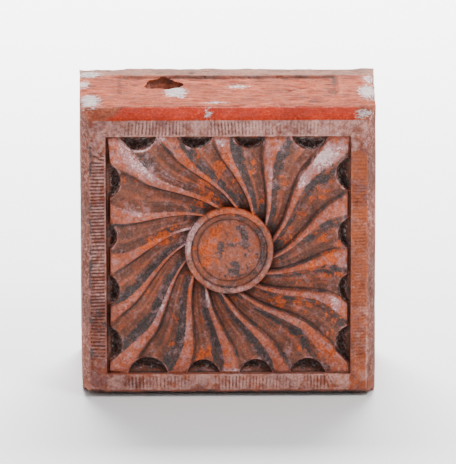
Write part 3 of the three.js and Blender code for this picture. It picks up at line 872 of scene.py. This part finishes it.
def stain_marks(skin, crest):
    """Salts and fresh clay: the listed spots, then the dome, the ring, the band and the pockets' lips; the ring's
    upper left, the band's outer right edge and the pockets' lips get painted highlight.
    """
    places, x, z, band, around = skin.places, skin.x, skin.z, skin.band, skin.around
    face = skin.panel | band
    crown = (skin.ring > 39.7) & (skin.ring < 47)
    fresh = spots(places, FRESH) * face
    fresh = np.maximum(fresh, 0.8 * (skin.ring < 31) * smooth(0.1, 0.5, rough_noise(places, 13, 72)))
    fresh = np.maximum(fresh, 1.5 * crown * smooth(0.55, 0.9, np.cos(around - 1.3)))
    fresh = np.where(skin.right, 0.5 + 0.45 * rough_noise(places, 30, 74), fresh)
    low_fresh = 0.3 + 0.5 * rough_noise(places, 34, 75) + 0.0012 * x
    fresh = np.where(skin.bottom, np.maximum(fresh, low_fresh), fresh)
    haze = spots(places, HAZE) * face * (0.25 + 0.75 * np.maximum(crest, band))
    # Painted highlight on the ring's upper left
    haze = np.maximum(haze, 0.75 * crown * smooth(0.8, 0.97, np.cos(around - 2.75)))
    haze = np.maximum(haze, 0.3 * crown * smooth(0.2, 0.8, np.cos(around + 1.3)))
    cover = np.select([skin.right, skin.bottom], [0.12, 0.48], 0.46)
    haze = np.where(band, cover + 0.36 * rough_noise(places, 24, 73), haze)
    haze = np.where(skin.left & (z < 110), 0.55 * haze, haze)
    # Painted highlight along the band's outer right edge
    right_edge_highlight = np.exp(-((x - 143.5) / 1.6) ** 2) * smooth(120, 20, z)
    haze = np.maximum(haze, 0.9 * band * right_edge_highlight)
    # Painted highlight on the pockets' lips
    lip_highlights = np.max([lip * np.exp(-((off - 0.6) / 1.1) ** 2) for lip, off in zip(LIP_HIGHLIGHT, skin.from_rims)], axis=0)
    return np.maximum(haze, skin.panel * lip_highlights * (skin.y < FACE_Y + 9)), fresh


def mortar_marks(skin):
    """Smears of mortar, pale grey painted into the pockets to lighten their shade, the ends of the top chamfer that
    mortar covers, and the bed's brown seam and pits with painted shade along the recess's walls.
    """
    places, x, y, z, bed, patch = skin.places, skin.x, skin.y, skin.z, skin.bed, skin.patch
    mortar = np.max([strength * np.exp(-how_far(places, *spot)) for *spot, strength in MORTAR_SPOTS], axis=0)
    # Painted light: pale grey in the pockets, stronger away from the band, lightens their shade
    mortar = np.where(skin.pocket, 0.38 * smooth(1.0, 6.0, skin.from_band), mortar)
    slanted = x + 19 * np.clip((BLOCK_HEIGHT - z) / 12, 0, 1)
    left_end = 1 - smooth(-116, -103, slanted + 5 * patch)
    covered = skin.strip * np.maximum(left_end, smooth(124, 138, x + 8 * patch))
    # Painted shade: dark lines along the recess's back wall and its two ends
    back_wall_shade = 1.3 * np.exp(-((y - 63.8 + 0.6 * patch) / 2.5) ** 2) * (np.abs(x) < 113) * (0.75 + 0.5 * patch)
    right_wall_shade = np.exp(-((x - 112.5 - patch) / 1.7) ** 2) * smooth(8, 40, y) * (y < 64)
    left_wall_shade = 0.55 * np.exp(-((x + 112.8) / 1.2) ** 2) * smooth(-30, -10, y) * (y < 64)
    streaks = 0.8 * smooth(0.34, 0.6, rough_noise(places * np.array([0.45, 1, 1]), 8, 77))
    pits = [np.exp(-1.6 * how_far(places, *spot)) for *spot, _ in BED_PITS]
    seam = bed * np.clip(np.max([back_wall_shade, right_wall_shade, left_wall_shade, streaks, *pits], axis=0), 0, 1)
    return mortar, covered, seam


def mark_clay(piece, carved_places, carved_marks, comb_mark):
    """Stores what the clay's finish reads, in the attributes that MARKS names."""
    skin = Skin(piece)
    normals = outward(piece)
    links = mesh_links(piece)
    crest, flute, soot, streak = relief_marks(skin, carved_places, carved_marks)
    haze, fresh = stain_marks(skin, crest)
    mortar, covered, seam = mortar_marks(skin)
    close = hollows(skin.places, normals, links, 5)
    wide = np.where(skin.panel, hollows(skin.places, normals, links, 40), 0)
    beside = ~(skin.panel | skin.band | skin.strip | skin.bed)
    beside &= (skin.y < FACE_Y + CHAMFER_DEPTH + 1) & (skin.z > 18)
    found = dict(crest=crest, flute=flute, soot=soot, streak=streak, haze=haze, fresh=fresh, mortar=mortar)
    found["close"] = np.clip(0.5 + close / 0.9, 0, 1)
    found["wide"] = np.clip(0.5 + wide / 5, 0, 1)
    found["comb"] = comb_mark
    found["seam"] = seam
    found["band"] = skin.band
    found["strip"] = skin.strip * (1 - covered)
    found["bed"] = skin.bed + covered
    found["beside"] = beside * smooth(0.1, 1.0, 0.9 + 0.5 * skin.patch)
    for name, parts in MARKS.items():
        stored = piece.data.attributes.new(name, "FLOAT_COLOR", "POINT")
        values = np.ones((len(skin.places), 4), np.float32)
        for k, part in enumerate(parts):
            values[:, k] = np.clip(found[part], 0, 1.5)
        stored.data.foreach_set("color", values.ravel())


# The finish

def from_srgb(r, g, b):
    """A colour as seen on screen, in the linear values that a shader takes."""
    return tuple((v / 255 / 12.92) if v <= 10 else ((v / 255 + 0.055) / 1.055) ** 2.4 for v in (r, g, b))


PINK_CLAY = from_srgb(158, 100, 84)
ORANGE_CLAY = from_srgb(166, 92, 62)
DULL_CLAY = from_srgb(132, 88, 74)
LIT_CLAY = from_srgb(184, 112, 92)
LIT_ORANGE = from_srgb(182, 92, 56)
BROWN_CLAY = from_srgb(110, 78, 68)
FRESH_CLAY = from_srgb(202, 104, 54)
FRESH_DEEP = from_srgb(178, 84, 42)
SIDE_PINK = from_srgb(132, 78, 68)
EDGE_HIGHLIGHT = from_srgb(222, 160, 144)
CREVICE_SHADE = from_srgb(72, 52, 45)
BAND_MAUVE = from_srgb(138, 94, 90)
BAND_BROWN = from_srgb(136, 78, 60)
BAND_ORANGE = from_srgb(172, 96, 62)
BAND_PALE = from_srgb(206, 162, 154)
BAND_GROOVE_SHADE = from_srgb(72, 44, 40)
SOOT_AND_SHADE_BLACK = from_srgb(66, 60, 60)
SOOT_AND_SHADE_GREY = from_srgb(94, 89, 90)
SALT = from_srgb(214, 190, 190)
SALT_PINK = from_srgb(184, 140, 142)
STRIP_RED = from_srgb(184, 54, 2)
STRIP_PALE = from_srgb(190, 84, 56)
BED_PINK = from_srgb(152, 66, 34)
BED_PALE = from_srgb(180, 98, 66)
BED_RED = from_srgb(122, 46, 26)
BED_CREVICE_SHADE = from_srgb(112, 66, 52)
BED_DUST = from_srgb(150, 122, 110)
SEAM_AND_SHADE_BROWN = from_srgb(72, 36, 26)
GREY_MORTAR_AND_POCKET_LIGHT = from_srgb(196, 186, 186)

# The patterns in the clay: size in millimetres, detail, roughness, twist, shift, and how much they are drawn out
# from left to right
PATTERNS = {
    "patches": (9, 5, 0.62),
    "blotches": (34, 3, 0.5),
    "grains": (2.1, 4, 0.7),
    "specks": (1.1, 2, 0.6),
    "flecks": (3.6, 5, 0.75, 0.6),
    "rubs": (9, 7, 0.66, 0.35, 1.3),
    "smuts": (11, 7, 0.68, 0.4, 2.9),
    "salts": (8, 7, 0.7, 0.3, 4.1),
    "tones": (7, 5, 0.72, 0.9),
    "shades": (80, 5, 0.6),
    "pores": (4.2, 4, 0.8, 0.4),
    "smears": (7, 5, 0.7, 0.0, 0.0, 0.45),
    "drags": (5, 5, 0.7, 0.0, 0.0, 0.3),
}


class ClayFinish:
    """The clay's material: its marks and patterns by name, and short ways to reckon with them and lay colours."""

    def __init__(self, name):
        self.material = bpy.data.materials.new(name)
        self.material.use_nodes = True
        self.tree = self.material.node_tree
        self.shader = self.tree.nodes["Principled BSDF"]
        self.coordinates = self.tree.nodes.new("ShaderNodeTexCoord").outputs["Object"]
        self.body = None
        for attribute, parts in MARKS.items():
            stored = self.tree.nodes.new("ShaderNodeAttribute")
            stored.attribute_name = attribute
            split = self.tree.nodes.new("ShaderNodeSeparateColor")
            self.link(stored.outputs["Color"], split.inputs[0])
            for part, value in zip(parts, [*split.outputs, stored.outputs["Alpha"]]):
                setattr(self, part, value)
        for pattern, settings in PATTERNS.items():
            setattr(self, pattern, self.noise(*settings))

    def link(self, source, socket):
        if isinstance(source, (int, float)):
            socket.default_value = source
        elif isinstance(source, tuple):
            socket.default_value = (*source, 1.0)
        else:
            self.tree.links.new(source, socket)

    def noise(self, size, detail, rough, twist=0.0, shift=0.0, across=1.0):
        mapping = self.tree.nodes.new("ShaderNodeMapping")
        mapping.inputs["Scale"].default_value = (across, 1, 1)
        mapping.inputs["Location"].default_value = (shift, 0, shift)
        self.link(self.coordinates, mapping.inputs["Vector"])
        noise = self.tree.nodes.new("ShaderNodeTexNoise")
        noise.inputs["Scale"].default_value = 1 / (size * MM)
        noise.inputs["Detail"].default_value = detail
        noise.inputs["Roughness"].default_value = rough
        noise.inputs["Distortion"].default_value = twist
        self.link(mapping.outputs[0], noise.inputs["Vector"])
        return noise.outputs["Fac"]

    def reckon(self, kind, a, b):
        node = self.tree.nodes.new("ShaderNodeMath")
        node.operation = kind
        self.link(a, node.inputs[0])
        self.link(b, node.inputs[1])
        return node.outputs[0]

    def plus(self, a, b):
        return self.reckon("ADD", a, b)

    def less(self, a, b):
        return self.reckon("SUBTRACT", a, b)

    def times(self, a, b):
        return self.reckon("MULTIPLY", a, b)

    def between(self, value, low, high, to_low=0.0, to_high=1.0):
        node = self.tree.nodes.new("ShaderNodeMapRange")
        node.interpolation_type = "SMOOTHSTEP"
        self.link(value, node.inputs["Value"])
        node.inputs["From Min"].default_value = low
        node.inputs["From Max"].default_value = high
        node.inputs["To Min"].default_value = to_low
        node.inputs["To Max"].default_value = to_high
        return node.outputs["Result"]

    def mix(self, share, a, b, kind="MIX"):
        node = self.tree.nodes.new("ShaderNodeMix")
        node.data_type = "RGBA"
        node.blend_type = kind
        self.link(share, node.inputs[0])
        self.link(a, node.inputs[6])
        self.link(b, node.inputs[7])
        return node.outputs[2]

    def coat(self, share, colour):
        """Lays a colour over what is there so far, as thick as its share."""
        self.body = self.mix(share, self.body, colour)


def fired_body(clay):
    """Fired clay between dull pink and orange, with painted highlight on the crests and painted shade in brown in the
    flutes.
    """
    clay.body = clay.mix(clay.between(clay.patches, 0.38, 0.62), PINK_CLAY, ORANGE_CLAY)
    clay.coat(clay.between(clay.blotches, 0.35, 0.7, 0.0, 0.55), DULL_CLAY)
    lit = clay.mix(clay.between(clay.tones, 0.45, 0.57), LIT_CLAY, LIT_ORANGE)
    lit = clay.mix(clay.between(clay.tones, 0.46, 0.36, 0.0, 0.75), lit, SALT_PINK)
    # Painted highlight: the crests take a lit copy of the clay
    crest_highlight = clay.times(clay.crest, clay.between(clay.flecks, 0.35, 0.65, 0.25, 1.15))
    clay.coat(clay.between(crest_highlight, 0.1, 1.0, 0.0, 0.85), lit)
    clay.coat(clay.between(clay.streak, 0.3, 0.8, 0.0, 0.5), LIT_CLAY)
    # Painted shade: the flutes, pockets, hole and the ring's groove are browned
    flute_shade = clay.times(clay.flute, clay.between(clay.patches, 0.3, 0.7, 1.15, 0.7))
    flute_shade = clay.times(flute_shade, clay.between(clay.streak, 0.25, 0.75, 1.1, 0.62))
    clay.coat(clay.between(flute_shade, 0.05, 1.0, 0.0, 0.92), BROWN_CLAY)


def tooled_band(clay):
    """The band, with pale salts over mauve and brown and painted shade in its comb grooves, and the pinker chamfers
    beside it.
    """
    tooled = clay.mix(clay.between(clay.patches, 0.42, 0.58), BAND_MAUVE, BAND_BROWN)
    warm = clay.plus(clay.fresh, clay.between(clay.rubs, 0.35, 0.65, -0.25, 0.3))
    tooled = clay.mix(clay.between(warm, 0.1, 0.65, 0.0, 0.9), tooled, BAND_ORANGE)
    pale = clay.plus(clay.haze, clay.between(clay.salts, 0.35, 0.65, -0.25, 0.25))
    tooled = clay.mix(clay.between(pale, 0.1, 0.85, 0.0, 0.78), tooled, BAND_PALE)
    # Painted shade in the comb grooves
    comb_shade = clay.plus(clay.comb, clay.between(clay.flecks, 0.3, 0.7, -0.3, 0.3))
    tooled = clay.mix(clay.between(comb_shade, 0.08, 0.85, 0.0, 0.84), tooled, BAND_GROOVE_SHADE)
    clay.coat(clay.band, tooled)
    side = clay.mix(clay.between(clay.flecks, 0.4, 0.75), SIDE_PINK, BAND_PALE)
    clay.coat(clay.times(clay.beside, 0.8), side)


def stains(clay):
    """Shade on the plain sides and back, fresh clay where the face is rubbed, soot and painted shade in hollows, and
    salts with painted highlights on crests and rims.
    """
    carved = clay.plus(clay.plus(clay.crest, clay.flute), clay.band)
    off_face = clay.between(carved, 0.0, 0.15, 1.0, 0.0)
    calm = clay.times(off_face, 0.13)
    clay.coat(clay.times(off_face, clay.between(clay.shades, 0.42, 0.62, 0.0, 0.5)), BROWN_CLAY)

    open_clay = clay.times(clay.less(1.0, clay.band), clay.less(1.0, clay.bed))
    rubbed = clay.plus(clay.times(clay.fresh, 0.75), clay.between(clay.rubs, 0.36, 0.66, -0.5, 0.36))
    rubbed = clay.less(clay.times(rubbed, open_clay), calm)
    fresh_clay = clay.mix(clay.between(clay.grains, 0.35, 0.65), FRESH_DEEP, FRESH_CLAY)
    clay.coat(clay.between(rubbed, 0.26, 0.4, 0.0, 0.88), fresh_clay)

    # Soot and painted shade: dark lines at the ridges' feet, the ring's step and crescent, the band's outer left edge
    # and the lower arris
    sooted_and_shaded = clay.plus(clay.times(clay.soot, 0.85), clay.between(clay.smuts, 0.34, 0.66, -0.5, 0.36))
    sooted_and_shaded = clay.less(clay.times(sooted_and_shaded, clay.between(open_clay, 0, 1, 0.75, 1.0)), calm)
    grey = clay.mix(clay.between(clay.specks, 0.35, 0.65), SOOT_AND_SHADE_BLACK, SOOT_AND_SHADE_GREY)
    clay.coat(clay.between(sooted_and_shaded, 0.24, 0.46, 0.0, 0.88), grey)

    # The pale veil carries the salts and the painted highlights of the ring, the band's right edge and the pockets'
    # lips
    salted = clay.plus(clay.haze, clay.times(clay.crest, 0.14))
    veil = clay.plus(salted, clay.between(clay.salts, 0.36, 0.64, -0.4, 0.35))
    veil = clay.less(clay.times(veil, open_clay), calm)
    clay.coat(clay.between(veil, 0.05, 0.75, 0.0, 0.78), SALT_PINK)
    bloom = clay.plus(clay.times(clay.haze, open_clay), clay.between(clay.flecks, 0.38, 0.68, -1.1, 0.05))
    clay.coat(clay.between(bloom, 0.0, 0.5, 0.0, 0.8), SALT)
    return carved


def chamfer_and_bed(clay):
    """The bright top chamfer, the old mortar of the bed, and the pale smears of mortar, with pale grey painted into
    the pockets to lighten their shade.
    """
    clay.coat(clay.strip, clay.mix(clay.between(clay.flecks, 0.52, 0.68, 0.0, 0.7), STRIP_RED, STRIP_PALE))
    old_mortar = clay.mix(clay.between(clay.smears, 0.36, 0.6), BED_PINK, BED_PALE)
    old_mortar = clay.mix(clay.between(clay.drags, 0.5, 0.64, 0.0, 0.85), old_mortar, BED_RED)
    old_mortar = clay.mix(clay.between(clay.streak, 0.3, 1.0, 0.0, 0.75), old_mortar, BED_DUST)
    clay.coat(clay.bed, old_mortar)
    # Mortar smears, and the painted light in the pockets
    smeared = clay.plus(clay.mortar, clay.between(clay.flecks, 0.35, 0.65, -0.35, 0.3))
    clay.coat(clay.between(smeared, 0.3, 0.65, 0.0, 0.92), GREY_MORTAR_AND_POCKET_LIGHT)


def pits_and_edges(clay, carved):
    """Small pits, painted shade in hollows, painted highlight on raised edges, and the clay's uneven tone."""
    pits = clay.times(clay.between(clay.pores, 0.6, 0.7), clay.less(1.0, clay.bed))
    clay.coat(clay.times(pits, clay.between(carved, 0.0, 0.6, 0.15, 0.6)), SOOT_AND_SHADE_BLACK)
    # Brown seam, streaks and pits of the bed, with painted shade along the recess's walls
    clay.coat(clay.times(clay.seam, clay.between(clay.flecks, 0.3, 0.6, 0.6, 1.0)), SEAM_AND_SHADE_BROWN)
    # Painted shade in small hollows and, more softly, in wide hollows of the panel
    clay.coat(clay.between(clay.close, 0.58, 1.0, 0.0, 0.6), clay.mix(clay.bed, CREVICE_SHADE, BED_CREVICE_SHADE))
    clay.coat(clay.between(clay.wide, 0.65, 1.05, 0.0, 0.3), CREVICE_SHADE)
    # Painted highlight on raised edges
    clay.coat(clay.between(clay.close, 0.36, 0.0, 0.0, 0.14), EDGE_HIGHLIGHT)
    shade = clay.between(clay.grains, 0.28, 0.72, 0.74, 1.16)
    shade = clay.times(shade, clay.between(clay.flecks, 0.3, 0.7, 0.8, 1.14))
    shade = clay.times(shade, clay.between(clay.blotches, 0.35, 0.65, 0.86, 1.1))
    grey = clay.tree.nodes.new("ShaderNodeCombineColor")
    for socket in grey.inputs:
        clay.link(shade, socket)
    clay.body = clay.mix(1.0, clay.body, grey.outputs[0], "MULTIPLY")


def weathered_clay():
    """The finish of the whole block."""
    clay = ClayFinish("weathered_clay")
    fired_body(clay)
    tooled_band(clay)
    carved = stains(clay)
    chamfer_and_bed(clay)
    pits_and_edges(clay, carved)
    deep = clay.tree.nodes.new("ShaderNodeGamma")
    deep.inputs["Gamma"].default_value = 1.18
    clay.link(clay.body, deep.inputs["Color"])
    clay.link(deep.outputs[0], clay.shader.inputs["Base Color"])

    rough = clay.between(clay.patches, 0.3, 0.7, 0.7, 0.88)
    clay.link(clay.plus(rough, clay.times(clay.bed, 0.12)), clay.shader.inputs["Roughness"])
    clay.shader.inputs["Specular IOR Level"].default_value = 0.22

    pitted = clay.plus(clay.times(clay.grains, 0.6), clay.times(clay.specks, 0.4))
    pitted = clay.plus(pitted, clay.times(clay.tones, clay.between(clay.bed, 0, 1, 0.6, 2.0)))
    bump = clay.tree.nodes.new("ShaderNodeBump")
    bump.inputs["Strength"].default_value = 0.7
    bump.inputs["Distance"].default_value = 0.9 * MM
    clay.link(pitted, bump.inputs["Height"])
    clay.link(bump.outputs["Normal"], clay.shader.inputs["Normal"])
    return clay.material


# Camera, floor and lights

PHOTO_WIDTH = 456
FOCAL_LENGTH = 5583  # in the photo's pixels


def place_camera():
    """Looks a little down on the block from far away, almost square to its face."""
    turn, tilt, roll = math.radians(-0.55), math.radians(13.62), math.radians(-0.1)
    distance = 5866 * MM
    aim = Vector((0.5, 0, 152.1)) * MM
    forward = Vector((-math.sin(turn) * math.cos(tilt), math.cos(turn) * math.cos(tilt), -math.sin(tilt)))
    right = Vector((math.cos(turn), math.sin(turn), 0))
    up = right.cross(forward)
    lens = bpy.data.cameras.new("camera")
    lens.sensor_fit = "HORIZONTAL"
    lens.sensor_width = 36
    lens.lens = lens.sensor_width * FOCAL_LENGTH / PHOTO_WIDTH
    camera = bpy.data.objects.new("camera", lens)
    bpy.context.collection.objects.link(camera)
    aimed = Matrix((right, up, -forward)).transposed().to_4x4()
    camera.matrix_world = Matrix.Translation(aim - forward * distance) @ aimed @ Matrix.Rotation(roll, 4, "Z")
    bpy.context.scene.camera = camera


def lay_floor():
    bpy.ops.object.select_all(action="DESELECT")
    bpy.ops.mesh.primitive_plane_add(size=14, location=(0, 0, -0.0004))
    floor = bpy.context.object
    floor.name = "floor"
    pale = bpy.data.materials.new("pale_floor")
    pale.use_nodes = True
    pale.node_tree.nodes["Principled BSDF"].inputs["Base Color"].default_value = (0.97, 0.97, 0.97, 1)
    pale.node_tree.nodes["Principled BSDF"].inputs["Roughness"].default_value = 0.9
    floor.data.materials.append(pale)


def soft_light(name, place, power, size, aim=(0, 0, 0.15)):
    lamp = bpy.data.lights.new(name, "AREA")
    lamp.energy = power
    lamp.size = size
    light = bpy.data.objects.new(name, lamp)
    bpy.context.collection.objects.link(light)
    light.location = place
    light.rotation_euler = (Vector(aim) - Vector(place)).to_track_quat("-Z", "Y").to_euler()


def light_studio():
    soft_light("key", (1.2, -1.3, 2.0), 44, 0.9)
    soft_light("fill", (-2.0, -2.4, 0.7), 22, 2.0)
    soft_light("floor_light", (0, 3.0, 3.2), 900, 2.5, (0, 2.6, 0))
    world = bpy.data.worlds.new("studio")
    bpy.context.scene.world = world
    world.use_nodes = True
    world.node_tree.nodes["Background"].inputs[0].default_value = (1, 1, 1, 1)
    world.node_tree.nodes["Background"].inputs[1].default_value = 0.5


def carved_block():
    block = clay_sheet()
    carved_places, carved_marks = wrap_block(block)
    close_block(block, carved_places)
    cut_bed_finer(block)
    for side in (-1, 1):
        cut_away(block, cell_tool(side))
    cut_away(block, hole_tool())
    comb_mark = wear_clay(block)
    mark_clay(block, carved_places, carved_marks, comb_mark)
    select_only(block)
    bpy.ops.object.shade_smooth_by_angle(angle=math.radians(50))
    block.data.materials.clear()
    block.data.materials.append(weathered_clay())
    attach(block, "root")
    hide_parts("terracotta_block")
    return block


place_camera()
lay_floor()
light_studio()
carved_block()
